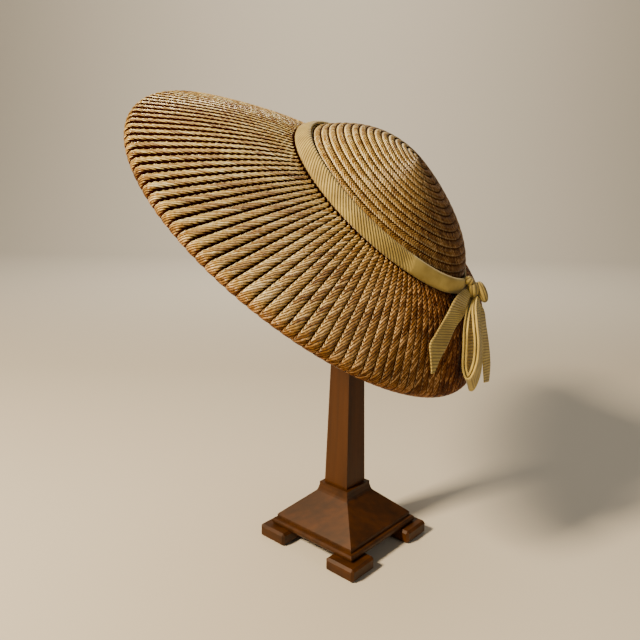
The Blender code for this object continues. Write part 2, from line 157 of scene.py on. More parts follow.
def fill_ramp(node, stops):
    """Sets a colour ramp's stops from pairs of place and hex colour."""
    ramp = node.color_ramp
    while len(ramp.elements) < len(stops):
        ramp.elements.new(1.0)
    for element, (place, colour) in zip(ramp.elements, stops):
        element.position = place
        element.color = linear(colour)


def new_material(name):
    material = bpy.data.materials.new(name)
    material.use_nodes = True
    return material, material.node_tree.nodes["Principled BSDF"]


def unit(vectors):
    length = np.linalg.norm(vectors, axis=-1, keepdims=True)
    return vectors / np.maximum(length, 1e-12)


def grid_mesh(name, grids, wrap=False, values=None):
    """Skins one or more grids of points (rows, columns, 3); wrap joins last column to first."""
    mesh = bpy.data.meshes.new(name)
    faces = []
    count = 0
    for points in grids:
        rows, columns = points.shape[:2]
        index = np.arange(rows * columns).reshape(rows, columns) + count
        count += rows * columns
        left = index if wrap else index[:, :-1]
        right = np.roll(index, -1, axis=1) if wrap else index[:, 1:]
        faces.append(np.stack([left[:-1], right[:-1], right[1:], left[1:]], -1).reshape(-1, 4))
    faces = np.concatenate(faces)
    mesh.vertices.add(count)
    mesh.vertices.foreach_set("co", np.concatenate([g.reshape(-1) for g in grids]))
    mesh.loops.add(faces.size)
    mesh.loops.foreach_set("vertex_index", faces.reshape(-1))
    mesh.polygons.add(len(faces))
    mesh.polygons.foreach_set("loop_start", np.arange(0, faces.size, 4))
    mesh.update(calc_edges=True)
    mesh.shade_smooth()
    for key, fields in (values or {}).items():
        attribute = mesh.attributes.new(key, "FLOAT", "POINT")
        attribute.data.foreach_set("value", np.concatenate([f.reshape(-1) for f in fields]))
    return mesh


def add_piece(name, mesh, material):
    """A new piece of the object, which rides with it and takes the finish it is given."""
    piece = bpy.data.objects.new(name, mesh)
    bpy.context.scene.collection.objects.link(piece)
    piece.data.materials.append(material)
    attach(piece, "root")
    return piece


post_low, post_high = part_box("stand_post")
POST_AXIS = (0.5 * (post_low[0] + post_high[0]), 0.5 * (post_low[1] + post_high[1]))
spin = Matrix.Rotation(math.radians(TURN), 3, "Z")
spin = spin @ Matrix.Rotation(math.radians(TIP_SIDE), 3, "X")
spin = np.array(spin @ Matrix.Rotation(math.radians(TIP_BACK), 3, "Y"))
seat = np.array([POST_AXIS[0] + BONNET_OFFSET[0], POST_AXIS[1] + BONNET_OFFSET[1], BONNET_HEIGHT])


def on_stand(points):
    """From the bonnet's own frame to where it sits on the stand."""
    return points @ spin.T + seat


def blend_round(angle, front, side, back):
    """A value that is front at 180 degrees, side at 90 and back at 0."""
    middle = 0.25 * (front + 2.0 * side + back)
    second = 0.25 * (front - 2.0 * side + back)
    return middle + 0.5 * (back - front) * np.cos(angle) + second * np.cos(2.0 * angle)


def brim_bend(angle):
    """Start, bend and end of the brim's line at each angle, and the way round."""
    cos, sin, zero = np.cos(angle), np.sin(angle), np.zeros_like(angle)
    start = np.stack([0.5 * CROWN_LENGTH * cos, 0.5 * CROWN_WIDTH * sin, zero], -1)
    around = unit(np.stack([-CROWN_LENGTH * sin, CROWN_WIDTH * cos, zero], -1))
    front = -0.5 * CROWN_LENGTH - FRONT_REACH
    back = 0.5 * CROWN_LENGTH + BACK_REACH
    centre = 0.25 * (front + back) - 0.5 * WIDEST_AHEAD
    second = 0.25 * (front + back) + 0.5 * WIDEST_AHEAD
    x = centre + 0.5 * (back - front) * cos + second * np.cos(2.0 * angle)
    y = (0.5 * CROWN_WIDTH + SIDE_REACH) * sin - FRONT_FULLNESS * np.sin(2.0 * angle)
    edge = np.stack([x, y, -blend_round(angle, FRONT_DROP, SIDE_DROP, BACK_DROP)], -1)
    line = edge - start
    arch = blend_round(angle, FRONT_ARCH, SIDE_ARCH, BACK_ARCH)
    bend = start + ARCH_PLACE * line + unit(np.cross(line, around)) * arch[..., None]
    end = edge - unit(edge - bend) * EDGE_ROLL
    return start, bend, end, around


def brim_at(angle, share):
    """Points on the brim's upper face (rows of share, columns of angle), way along, way out."""
    start, bend, end, around = brim_bend(angle)
    s = np.asarray(share)[:, None, None]
    here = (1.0 - s) ** 2 * start + 2.0 * s * (1.0 - s) * bend + s ** 2 * end
    along = unit((1.0 - s) * (bend - start) + s * (end - bend))
    return here, along, unit(np.cross(along, np.broadcast_to(around, along.shape)))


def brim_surface(angle, line_rows, roll_rows, roll_turn=ROLL_TURN):
    """The brim's smooth face with its rolled edge: points, way out, run in metres, share."""
    share = np.linspace(0.0, 1.0, line_rows)
    here, along, out = brim_at(angle, share)
    turns = np.radians(np.linspace(0.0, roll_turn, roll_rows + 1))[1:, None, None]
    way = np.cos(turns) * out[-1] + np.sin(turns) * along[-1]
    rolled = here[-1] - out[-1] * EDGE_ROLL + way * EDGE_ROLL
    points = np.concatenate([here, rolled])
    ways = np.concatenate([out, way])
    steps = np.linalg.norm(np.diff(points, axis=0), axis=-1)
    run = np.concatenate([np.zeros((1, len(angle))), np.cumsum(steps, axis=0)])
    share = np.concatenate([share, np.ones(roll_rows)])
    return points, ways, run, share


def groove_depth(run, line_rows, share):
    """How deep the grooves between ribs are down the brim, shallower on its rolled edge."""
    rolled = np.clip((run - run[line_rows - 1]) / (0.5 * math.pi * EDGE_ROLL), 0.0, 1.0)
    depth = GROOVE_AT_CROWN + (GROOVE_AT_EDGE - GROOVE_AT_CROWN) * share[:, None]
    return depth * (1.0 - ROLL_FLATTER * rolled), rolled


rib_places, rib_heights = np.array(RIB_PROFILE).T
lie_angle, lie_slant, lie_pitch, lie_depth = np.array(STRAND_LIE).T


def rib_grid(number):
    """One rib: points, phase of its strands, place across, groove shade share, own number, and a share that
    is part freshness, part painted light.
    """
    across = rib_places
    angle = -math.tau * (number + across) / RIBS
    degrees = np.degrees(-angle)
    middle = 360.0 * (number + 0.5) / RIBS
    reach = np.linalg.norm(brim_bend(angle[:1])[2] - brim_bend(angle[:1])[0])
    line_rows = int(reach / RIB_STEP) + 2
    points, way, run, share = brim_surface(angle, line_rows, ROLL_ROWS)
    depth, rolled = groove_depth(run, line_rows, share)
    slant = np.interp(middle, lie_angle, lie_slant)
    pitch = np.interp(middle, lie_angle, lie_pitch)
    flatten = np.interp(degrees, lie_angle, lie_depth)
    width = RIB_AT_CROWN + (RIB_AT_EDGE - RIB_AT_CROWN) * share[:, None]
    lean = width / math.tan(math.radians(slant))
    fold = np.where(across < PLAIT_APEX, across, 3.0 * PLAIT_APEX - 2.0 * across)
    phase = (run - lean * fold) / pitch + number * STRAND_SHIFT
    tooth = TOOTH * np.sin(math.tau * phase) * (np.abs(across - TOOTH_PLACE) < TOOTH_REACH)
    height = depth * flatten * (rib_heights - 1.0) + tooth * flatten * (1.0 - rolled)
    # Painted shade in the grooves: the share of each rib darkened, widest at the front and less on the
    # rolled edge, plus a painted shadow on the brim just under the ribbon band
    groove = np.interp(degrees, *zip(*GROOVE_SHARE)) * (1.0 - ROLL_FADES_GROOVE * rolled)
    groove = groove + np.clip(1.0 - run / BAND_SHADE, 0.0, 1.0)
    across = np.broadcast_to(across, run.shape)
    tone = np.full(run.shape, float(number))
    # Paler at the lit front, darker and redder at the back and on the rolled edge that turns under: partly
    # real age, partly painted shade
    fresh_and_lit = (0.5 - 0.5 * np.cos(angle)) ** FRESH_AND_LIT_POWER * (1.0 - ROLL_FADES_FRESH_AND_LIT * rolled)
    return on_stand(points + way * height[..., None]), phase, across, groove, tone, fresh_and_lit


# Straw: split and plaited, with a hard shiny skin. Strands differ in tone from pale gold to
# red-brown. The front is paler and the back darker and redder, partly real age and partly painted
# shade; the grooves and the gaps between strands hold painted shade, the teeth painted highlights.

# Strand tones at the back and at the front; the difference is partly real age, partly painted shade
AGED_AND_SHADED_STRAW = ((0.05, "#2A0E05"), (0.35, "#54290F"), (0.65, "#7E481F"), (0.95, "#C68E50"))
FAIR_AND_LIT_STRAW = ((0.05, "#6E4614"), (0.35, "#B68C3A"), (0.65, "#E6C86C"), (0.95, "#FFFAC8"))
# Colours of the painted shade in the grooves and strand gaps, at the back and at the front
BACK_SHADE_COLOUR = "#3C1606"
FRONT_SHADE_COLOUR = "#220601"
# Painted highlight on the teeth along the strand edges
TIP_HIGHLIGHT = "#FFFAD0"
TIP_HIGHLIGHT_SHARE = 0.85
DRIFT_SIZE = 0.0066667
PATCH_SIZE = 0.041667
PATCH_SHARE = 0.5
FLECK_SIZE = 0.002381
FLECK_SHARE = 0.9
TONE_MIDDLE = 0.20
TIP_FROM = (0.78, 0.84)
TIP_TO = (0.97, 0.93)
TIP_RIDGE = (0.50, 0.85)
GROOVE_EDGE = (-0.07, 0.05)
GROOVE_LIP = (1.0, 0.94)
FRONT_SHADE_RANGE = (0.10, 0.60)
GLOSS_FROM = 0.16
GLOSS_LEAST = 0.03

straw, shader = new_material("plaited_varnished_straw")


def straw_look(material, shader, strand_height, wander, saw_edge, seams, seam_wide, uneven):
    """Colour, gloss and relief of a plait from its strand phase and its place across."""
    raw_phase = add_node(material, "ShaderNodeAttribute", attribute_name="strand").outputs["Fac"]
    across = add_node(material, "ShaderNodeAttribute", attribute_name="across").outputs["Fac"]
    groove = add_node(material, "ShaderNodeAttribute", attribute_name="groove").outputs["Fac"]
    tone = add_node(material, "ShaderNodeAttribute", attribute_name="tone").outputs["Fac"]
    fresh_and_lit = add_node(material, "ShaderNodeAttribute", attribute_name="fresh_and_lit").outputs["Fac"]

    # Strands: they lie unevenly, so their phase wanders
    place = add_node(material, "ShaderNodeTexCoord").outputs["Object"]
    drift = add_node(
        material, "ShaderNodeTexNoise", {"Vector": place, "Scale": 1.0 / DRIFT_SIZE, "Detail": 1.0}
    )
    phase = add_node(
        material,
        "ShaderNodeMath",
        {0: drift.outputs[0], 1: wander, 2: raw_phase},
        operation="MULTIPLY_ADD",
    ).outputs[0]
    number = add_node(material, "ShaderNodeMath", {0: phase}, operation="FLOOR").outputs[0]
    part = add_node(material, "ShaderNodeMath", {0: phase}, operation="FRACT").outputs[0]
    bend = add_node(material, "ShaderNodeMath", {0: part, 1: math.pi}, operation="MULTIPLY").outputs[0]
    ridge = add_node(material, "ShaderNodeMath", {0: bend}, operation="SINE").outputs[0]

    # Tone: each strand by chance, with broad patches and fine flecks
    both = add_node(material, "ShaderNodeCombineXYZ", {0: number, 1: tone}).outputs[0]
    chance = add_node(material, "ShaderNodeTexWhiteNoise", {"Vector": both}, noise_dimensions="2D")
    patch = add_node(
        material, "ShaderNodeTexNoise", {"Vector": place, "Scale": 1.0 / PATCH_SIZE, "Detail": 1.0}
    )
    fleck = add_node(
        material, "ShaderNodeTexNoise", {"Vector": place, "Scale": 1.0 / FLECK_SIZE, "Detail": 2.0}
    )
    broad = add_node(
        material, "ShaderNodeMath", {0: patch.outputs[0], 1: PATCH_SHARE}, operation="MULTIPLY"
    ).outputs[0]
    spread = add_node(
        material,
        "ShaderNodeMath",
        {0: chance.outputs["Value"], 1: uneven, 2: broad},
        operation="MULTIPLY_ADD",
    ).outputs[0]
    toned = add_node(
        material,
        "ShaderNodeMath",
        {0: fleck.outputs[0], 1: FLECK_SHARE, 2: spread},
        operation="MULTIPLY_ADD",
    ).outputs[0]
    choice = add_node(
        material, "ShaderNodeMath", {0: toned, 1: TONE_MIDDLE + 0.5 * uneven}, operation="SUBTRACT"
    ).outputs[0]
    aged_and_shaded = add_node(material, "ShaderNodeValToRGB", {0: choice})
    fill_ramp(aged_and_shaded, AGED_AND_SHADED_STRAW)
    fair_and_lit = add_node(material, "ShaderNodeValToRGB", {0: choice})
    fill_ramp(fair_and_lit, FAIR_AND_LIT_STRAW)
    body = add_node(
        material, "ShaderNodeMix", {0: fresh_and_lit, 6: aged_and_shaded.outputs[0], 7: fair_and_lit.outputs[0]}, data_type="RGBA"
    ).outputs[2]

    # Toothed edge: painted highlight where each strand turns back, strongest at the front
    edge_in = add_node(
        material, "ShaderNodeMapRange", {"Value": across, "From Min": TIP_FROM[0], "From Max": TIP_FROM[1]}
    ).outputs[0]
    edge_out = add_node(
        material, "ShaderNodeMapRange", {"Value": across, "From Min": TIP_TO[0], "From Max": TIP_TO[1]}
    ).outputs[0]
    edge = add_node(material, "ShaderNodeMath", {0: edge_in, 1: edge_out}, operation="MULTIPLY").outputs[0]
    turned = add_node(
        material, "ShaderNodeMapRange", {"Value": ridge, "From Min": TIP_RIDGE[0], "From Max": TIP_RIDGE[1]}
    ).outputs[0]
    tip_shown = add_node(material, "ShaderNodeMath", {0: edge, 1: fresh_and_lit}, operation="MULTIPLY").outputs[0]
    tip = add_node(material, "ShaderNodeMath", {0: turned, 1: tip_shown}, operation="MULTIPLY").outputs[0]
    tip_highlight_share = add_node(
        material, "ShaderNodeMath", {0: tip, 1: TIP_HIGHLIGHT_SHARE}, operation="MULTIPLY"
    ).outputs[0]
    colour = add_node(
        material, "ShaderNodeMix", {0: tip_highlight_share, 6: body, 7: linear(TIP_HIGHLIGHT)}, data_type="RGBA"
    ).outputs[2]

    # Grooves and gaps between strands: painted shade, near black and wide at the front, brown and narrow at
    # the back, with a saw edge
    saw = add_node(
        material, "ShaderNodeMath", {0: ridge, 1: -saw_edge, 2: groove}, operation="MULTIPLY_ADD"
    ).outputs[0]
    above = add_node(material, "ShaderNodeMath", {0: across, 1: saw}, operation="SUBTRACT").outputs[0]
    rise = add_node(
        material,
        "ShaderNodeMapRange",
        {"Value": above, "From Min": GROOVE_EDGE[0], "From Max": GROOVE_EDGE[1]},
    ).outputs[0]
    fall = add_node(
        material,
        "ShaderNodeMapRange",
        {"Value": across, "From Min": GROOVE_LIP[0], "From Max": GROOVE_LIP[1]},
    ).outputs[0]
    lit = add_node(material, "ShaderNodeMath", {0: rise, 1: fall}, operation="MULTIPLY").outputs[0]
    seam_dark = add_node(
        material, "ShaderNodeMapRange", {"Value": fresh_and_lit, "To Min": seams[0], "To Max": seams[1]}
    ).outputs[0]
    seam = add_node(
        material,
        "ShaderNodeMapRange",
        {"Value": ridge, "From Max": seam_wide, "To Min": seam_dark},
    ).outputs[0]
    shade = add_node(material, "ShaderNodeMath", {0: lit, 1: seam}, operation="MULTIPLY").outputs[0]
    front_shade_mix = add_node(
        material,
        "ShaderNodeMapRange",
        {"Value": fresh_and_lit, "From Min": FRONT_SHADE_RANGE[0], "From Max": FRONT_SHADE_RANGE[1]},
    ).outputs[0]
    groove_shade_colour = add_node(
        material,
        "ShaderNodeMix",
        {0: front_shade_mix, 6: linear(BACK_SHADE_COLOUR), 7: linear(FRONT_SHADE_COLOUR)},
        data_type="RGBA",
    ).outputs[2]
    mix = add_node(material, "ShaderNodeMix", {0: shade, 6: groove_shade_colour, 7: colour}, data_type="RGBA")
    relief = add_node(
        material, "ShaderNodeBump", {"Height": ridge, "Distance": strand_height, "Strength": 1.0}
    )

    # Gloss: the varnish still shines at the front and has gone dull at the back and in the grooves
    gloss = add_node(
        material, "ShaderNodeMapRange", {"Value": fresh_and_lit, "From Min": GLOSS_FROM, "To Min": GLOSS_LEAST}
    ).outputs[0]
    shine = add_node(material, "ShaderNodeMath", {0: lit, 1: gloss}, operation="MULTIPLY").outputs[0]
    links = material.node_tree.links
    links.new(mix.outputs[2], shader.inputs["Base Color"])
    links.new(relief.outputs[0], shader.inputs["Normal"])
    links.new(shine, shader.inputs["Specular IOR Level"])
    shader.inputs["Roughness"].default_value = 0.26
    shader.inputs["IOR"].default_value = 1.50


straw_look(
    straw,
    shader,
    strand_height=0.00070,
    wander=0.9,
    saw_edge=0.14,
    seams=(0.02, 0.20),
    seam_wide=0.72,
    uneven=0.60,
)

ribs_each = RIBS // BRIM_PIECES
for part in range(BRIM_PIECES):
    strips = [rib_grid(n) for n in range(part * ribs_each, (part + 1) * ribs_each)]
    fields = {}
    for i, key in enumerate(("strand", "across", "groove", "tone", "fresh_and_lit"), start=1):
        fields[key] = [strip[i] for strip in strips]
    ribs = grid_mesh(f"brim_ribs_{part + 1}", [strip[0] for strip in strips], values=fields)
    piece = add_piece(f"brim_ribs_{part + 1}", ribs, straw)
    if part == 0:
        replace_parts(piece, "brim")

# Underside of the brim: the same ribs seen from inside, shallower and duller
UNDER_SPANS = 4
UNDER_ROWS = 60
UNDER_ROLL_ROWS = 14
UNDER_TURN = 170.0
UNDER_WALL = 0.0015
UNDER_PITCH = 0.0036
UNDER_GROOVE = 0.10
UNDER_FRESH_AND_LIT = 0.4

under_angle = math.tau * np.arange(RIBS * UNDER_SPANS) / (RIBS * UNDER_SPANS)
under, under_way, under_run, under_share = brim_surface(
    under_angle, UNDER_ROWS, UNDER_ROLL_ROWS, UNDER_TURN
)
under_place = (RIBS * under_angle / math.tau) % 1.0
under_profile = np.interp(under_place, rib_places, rib_heights)
under_groove, _ = groove_depth(under_run, UNDER_ROWS, under_share)
under = under - under_way * (UNDER_WALL + under_groove * (1.0 - under_profile))[..., None]
under_fields = {
    "strand": [under_run / UNDER_PITCH + 0.5 * under_profile],
    "across": [np.broadcast_to(1.0 - np.abs(2.0 * under_place - 1.0), under_run.shape)],
    "groove": [np.full(under_run.shape, UNDER_GROOVE)],
    "tone": [np.broadcast_to(np.floor(RIBS * under_angle / math.tau), under_run.shape)],
    "fresh_and_lit": [np.full(under_run.shape, UNDER_FRESH_AND_LIT)],
}
under_mesh = grid_mesh("brim_inside", [on_stand(under)], wrap=True, values=under_fields)
add_piece("brim_inside", under_mesh, straw)


# Crown: one straw braid sewn in a spiral from the brim up to the pole, each turn lapping
# the one below, so its lower edge stands out as a line of small teeth.

CROWN_HEIGHT = 0.0535
CROWN_SKIRT = 0.0032
POLE_AHEAD = 0.0113
ROW_WIDTH = 0.0058
DOME_INWARD = (0.92, 1.52)
DOME_UPWARD = (1.98, 1.00)
BRAID_SPANS = 8
BRAID_STEP = 0.0007
BRAID_LAP = 0.14
BRAID_STAND = 0.0022
BRAID_PITCH = 0.0023
BRAID_SLANT = 33.0
BRAID_TOOTH = 0.08
BRAID_TOOTH_REACH = 0.15
BRAID_ROUNDNESS = 2.4
BRAID_BULGE = 0.75
BRAID_LEAN = 0.5
BRAID_SINK = 0.54
BRAID_GROOVE = 0.44
BRAID_GROOVE_MORE = 0.22
BRAID_FRESH_AND_LIT = 0.10
BRAID_FRESH_AND_LIT_MORE = 0.65
BRAID_TONE = 300.0
BRAID_SHORT = 0.15
POLE_GIRTH = 0.006
POLE_SHARE = 0.999


def dome_point(angle, rise):
    """The crown's smooth outer face; rise runs from 0 at the brim to 90 at the pole."""
    front = 0.5 - 0.5 * np.cos(angle)
    inward_power = DOME_INWARD[1] + (DOME_INWARD[0] - DOME_INWARD[1]) * front
    upward_power = DOME_UPWARD[1] + (DOME_UPWARD[0] - DOME_UPWARD[1]) * front
    inward = np.maximum(np.cos(np.radians(rise)), 0.0) ** inward_power
    upward = np.maximum(np.sin(np.radians(rise)), 0.0) ** upward_power
    x = 0.5 * CROWN_LENGTH * inward * np.cos(angle) - POLE_AHEAD * upward
    y = 0.5 * CROWN_WIDTH * inward * np.sin(angle)
    return np.stack([x, y, CROWN_HEIGHT * upward + 0.0 * x], -1)


def dome_lengths(angle, steps=90):
    """Run up the crown at each angle, as a table of rise to distance."""
    rise = np.linspace(0.0, 90.0, steps + 1)
    points = dome_point(angle[None, :], rise[:, None])
    lengths = np.linalg.norm(np.diff(points, axis=0), axis=-1)
    return rise, np.concatenate([np.zeros((1, len(angle))), np.cumsum(lengths, axis=0)])


def dome_place(angle, distance):
    rise, run = dome_lengths(angle)
    rises = np.empty_like(distance)
    for j in range(len(angle)):
        rises[:, j] = np.interp(distance[:, j], run[:, j], rise)
    return dome_point(angle[None, :], rises)


def dome_at(angle, distance):
    """Point, way up and way out of the crown at a distance above the brim."""
    step = 0.001
    here = dome_place(angle, distance)
    below = dome_place(angle, np.maximum(distance - step, 0.0))
    up = unit(dome_place(angle, distance + step) - below)
    around = unit(dome_place(angle + math.radians(1.0), distance) - here)
    return here, up, unit(np.cross(around, up))


side_run = dome_lengths(np.array([-0.5 * math.pi]))[1][-1, 0]
rows = round(side_run / ROW_WIDTH)
turns = [0.0]
while turns[-1] < rows - BRAID_SHORT:
    girth = math.pi * 0.5 * (CROWN_LENGTH + CROWN_WIDTH) * math.cos(0.5 * math.pi * turns[-1] / rows)
    turns.append(turns[-1] + BRAID_STEP / max(girth, POLE_GIRTH))
turns = np.array(turns)
braid_angle = -math.tau * turns
braid_across = np.linspace(0.0, 1.0, BRAID_SPANS + 1)[:, None]
braid_length = dome_lengths(braid_angle)[1][-1]
middle_line = dome_place(braid_angle, (turns + 0.5)[None, :] / (rows + 1.0) * braid_length)[0]
braid_steps = np.linalg.norm(np.diff(middle_line, axis=0), axis=-1)
braid_run = np.concatenate([[0.0], np.cumsum(braid_steps)])
braid_fold = np.abs(braid_across - 0.5)
braid_lean = ROW_WIDTH / math.tan(math.radians(BRAID_SLANT))
braid_phase = (braid_run + braid_lean * braid_fold) / BRAID_PITCH
braid_edge = np.exp(-(braid_across / BRAID_TOOTH_REACH) ** 2)
braid_teeth = BRAID_TOOTH * np.sin(math.tau * braid_phase) * braid_edge
braid_share = (turns + braid_across * (1.0 + BRAID_LAP) + braid_teeth) / rows
here, _, out = dome_at(braid_angle, np.clip(braid_share, 0.0, POLE_SHARE) * braid_length)
braid_round = 1.0 - np.abs(2.0 * braid_across - 1.0) ** BRAID_ROUNDNESS
braid_height = BRAID_STAND * (BRAID_BULGE * braid_round - BRAID_LEAN * braid_across - BRAID_SINK)
braid = here + out * (braid_height * np.ones_like(braid_phase))[..., None]
braid_front = 0.5 - 0.5 * np.cos(braid_angle)
# Painted shade between the rows, wider towards the front; the front is also paler, partly real age and
# partly painted shade
braid_groove = BRAID_LAP + BRAID_GROOVE + BRAID_GROOVE_MORE * braid_front
braid_fresh_and_lit = BRAID_FRESH_AND_LIT + BRAID_FRESH_AND_LIT_MORE * braid_front
braid_fields = {
    "strand": [braid_phase],
    "across": [np.broadcast_to(1.0 - braid_across, braid_phase.shape)],
    "groove": [np.broadcast_to(braid_groove, braid_phase.shape)],
    "tone": [np.broadcast_to(np.floor(turns) + BRAID_TONE, braid_phase.shape)],
    "fresh_and_lit": [np.broadcast_to(braid_fresh_and_lit, braid_phase.shape)],
}
crown_straw, shader = new_material("sewn_straw_braid")
straw_look(
    crown_straw,
    shader,
    strand_height=0.00080,
    wander=0.5,
    saw_edge=0.52,
    seams=(0.06, 0.06),
    seam_wide=0.85,
    uneven=0.40,
)
braid_mesh = grid_mesh("crown_braid", [on_stand(braid)], values=braid_fields)
braid_mesh.flip_normals()
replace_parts(add_piece("crown_braid", braid_mesh, crown_straw), "crown")

# Inside of the crown: the backs of the same rows
INNER_COLUMNS = 160
INNER_SINK = 0.0006
INNER_WAVE = 0.0006
INNER_STRANDS = 42.0
INNER_ACROSS = 0.6
INNER_TONE = 400.0

inner_angle = math.tau * np.arange(INNER_COLUMNS) / INNER_COLUMNS
inner_share = np.linspace(0.0, POLE_SHARE, 3 * rows + 1)[:, None]
inner_distance = inner_share * dome_lengths(inner_angle)[1][-1]
inner_here, _, inner_out = dome_at(inner_angle, inner_distance)
inner_wave = INNER_WAVE * np.abs(np.sin(math.pi * inner_share * rows))
inner_depth = STRAW_WALL + INNER_SINK + inner_wave * np.ones_like(inner_distance)
inner = inner_here - inner_out * inner_depth[..., None]
inner_foot = inner[:1] - np.array([0.0, 0.0, CROWN_SKIRT])
inner = np.concatenate([inner_foot, inner])
inner_fields = {
    "strand": [np.broadcast_to(inner_angle * INNER_STRANDS, inner.shape[:2])],
    "across": [np.full(inner.shape[:2], INNER_ACROSS)],
    "groove": [np.zeros(inner.shape[:2])],
    "tone": [np.full(inner.shape[:2], INNER_TONE)],
    "fresh_and_lit": [np.full(inner.shape[:2], UNDER_FRESH_AND_LIT)],
}
inner_mesh = grid_mesh("crown_inside", [on_stand(inner)], wrap=True, values=inner_fields)
add_piece("crown_inside", inner_mesh, crown_straw)


# Ribbon round the crown: a wide corded ribbon cut on the bias and folded to a soft band,
# drawn down over the brim at the back where the bow is tied.

BAND_WIDTH = 0.0132
BAND_THICK = 0.0034
BAND_GAP = 0.00045
BAND_SLIP = 0.0040
SLIP_NEAR = 48.0
SLIP_FAR = 16.0
BAND_GATHER = 0.45
GATHER_GROWS = 18.0
GATHER_ENDS = 120.0
GATHER_FADES = 50.0
KNOT_ANGLE = -26.0
CORD_PITCH = 0.0033
TAIL_CORD_PITCH = 0.0027
TAIL_PLAIN = 0.35
CORD_SLANT = 50.0
PLAIN_FROM = -74.0
PLAIN_TO = -30.0
PLAIN_FADE = (1.15, 0.25)
PLAIN_SWELL = 0.25
BAND_COLUMNS = 900
BAND_ROWS = 30
BAND_TOP_ROW = 12
RIBBON_PALE = ((0.35, "#927C32"), (0.65, "#B29C4C"))
# Painted shade between the cords
RIBBON_SHADE_BETWEEN_CORDS = "#42310A"
SILK_PATCH = 0.016667
CORD_RELIEF = 0.0006
BAND_SECTION = (
    # up, out
    (0.30, 0.00),
    (0.05, 0.02),
    (0.04, 0.45),
    (0.20, 0.90),
    (0.55, 1.00),
    (0.90, 0.92),
    (1.04, 0.50),
    (1.00, 0.04),
    (0.70, 0.00),
)

ribbon, shader = new_material("corded_silk_ribbon")


def ribbon_look(material, shader):
    """Fine cords across a matt silk ribbon: pale on the cords, with painted shade between them."""
    cord = add_node(material, "ShaderNodeAttribute", attribute_name="cord").outputs["Fac"]
    plain = add_node(material, "ShaderNodeAttribute", attribute_name="plain").outputs["Fac"]
    turn = add_node(material, "ShaderNodeMath", {0: cord, 1: math.pi}, operation="MULTIPLY").outputs[0]
    wave = add_node(material, "ShaderNodeMath", {0: turn}, operation="SINE").outputs[0]
    round_cord = add_node(material, "ShaderNodeMath", {0: wave}, operation="ABSOLUTE").outputs[0]
    soft = add_node(material, "ShaderNodeMath", {0: 1.0, 1: plain}, operation="SUBTRACT").outputs[0]
    height = add_node(
        material, "ShaderNodeMath", {0: round_cord, 1: soft}, operation="MULTIPLY"
    ).outputs[0]
    between = add_node(
        material, "ShaderNodeMapRange", {"Value": round_cord, "From Max": 0.75}
    ).outputs[0]
    lit = add_node(material, "ShaderNodeMath", {0: between, 1: plain}, operation="MAXIMUM").outputs[0]
    place = add_node(material, "ShaderNodeTexCoord").outputs["Object"]
    patch = add_node(
        material, "ShaderNodeTexNoise", {"Vector": place, "Scale": 1.0 / SILK_PATCH, "Detail": 4.0}
    )
    pale = add_node(material, "ShaderNodeValToRGB", {0: patch.outputs[0]})
    fill_ramp(pale, RIBBON_PALE)
    mix = add_node(
        material,
        "ShaderNodeMix",
        {0: lit, 6: linear(RIBBON_SHADE_BETWEEN_CORDS), 7: pale.outputs[0]},
        data_type="RGBA",
    )
    material.node_tree.links.new(mix.outputs[2], shader.inputs["Base Color"])
    relief = add_node(
        material, "ShaderNodeBump", {"Height": height, "Distance": CORD_RELIEF, "Strength": 1.0}
    )
    material.node_tree.links.new(relief.outputs[0], shader.inputs["Normal"])
    shader.inputs["Roughness"].default_value = 0.62
    shader.inputs["Sheen Weight"].default_value = 0.25


ribbon_look(ribbon, shader)


def smooth_path(points, count):
    """Points along a smooth curve through the given ones."""
    points = np.asarray(points, dtype=float)
    place = np.linspace(0.0, len(points) - 1.0, count)
    i = np.minimum(place.astype(int), len(points) - 2)
    t = (place - i)[:, None]
    first = points[np.maximum(i - 1, 0)]
    second = points[i]
    third = points[i + 1]
    last = points[np.minimum(i + 2, len(points) - 1)]
    return 0.5 * (
        2.0 * second
        + (third - first) * t
        + (2.0 * first - 5.0 * second + 4.0 * third - last) * t ** 2
        + (3.0 * second - first - 3.0 * third + last) * t ** 3
    )


def away_from(angle, degrees):
    """How many degrees each angle lies from a place round the bonnet."""
    return (np.degrees(angle) - degrees + 180.0) % 360.0 - 180.0


def eased(share):
    """A share from 0 to 1 that starts and ends gently."""
    share = np.clip(share, 0.0, 1.0)
    return share * share * (3.0 - 2.0 * share)


def band_slip(angle):
    """How far the bow draws the band off the crown, more on the near side of the knot."""
    away = away_from(angle, KNOT_ANGLE)
    spread = np.where(away < 0.0, SLIP_NEAR, SLIP_FAR)
    return BAND_SLIP * eased(1.0 - np.abs(away) / spread)


def band_fullness(angle):
    """Share of the band's width and thickness, less beyond the knot where it is drawn tight."""
    away = away_from(angle, KNOT_ANGLE)
    return 1.0 - BAND_GATHER * eased(away / GATHER_GROWS) * eased((GATHER_ENDS - away) / GATHER_FADES)


def band_at(angle, up_share, out_share):
    """A point of the band and the way up and out there."""
    full = band_fullness(angle)
    here, up, out = dome_at(angle, up_share * full * BAND_WIDTH)
    here = here + (brim_at(angle, [0.0])[1] * band_slip(angle)[:, None])
    return here + out * (BAND_GAP + out_share * full * BAND_THICK)[..., None], up, out


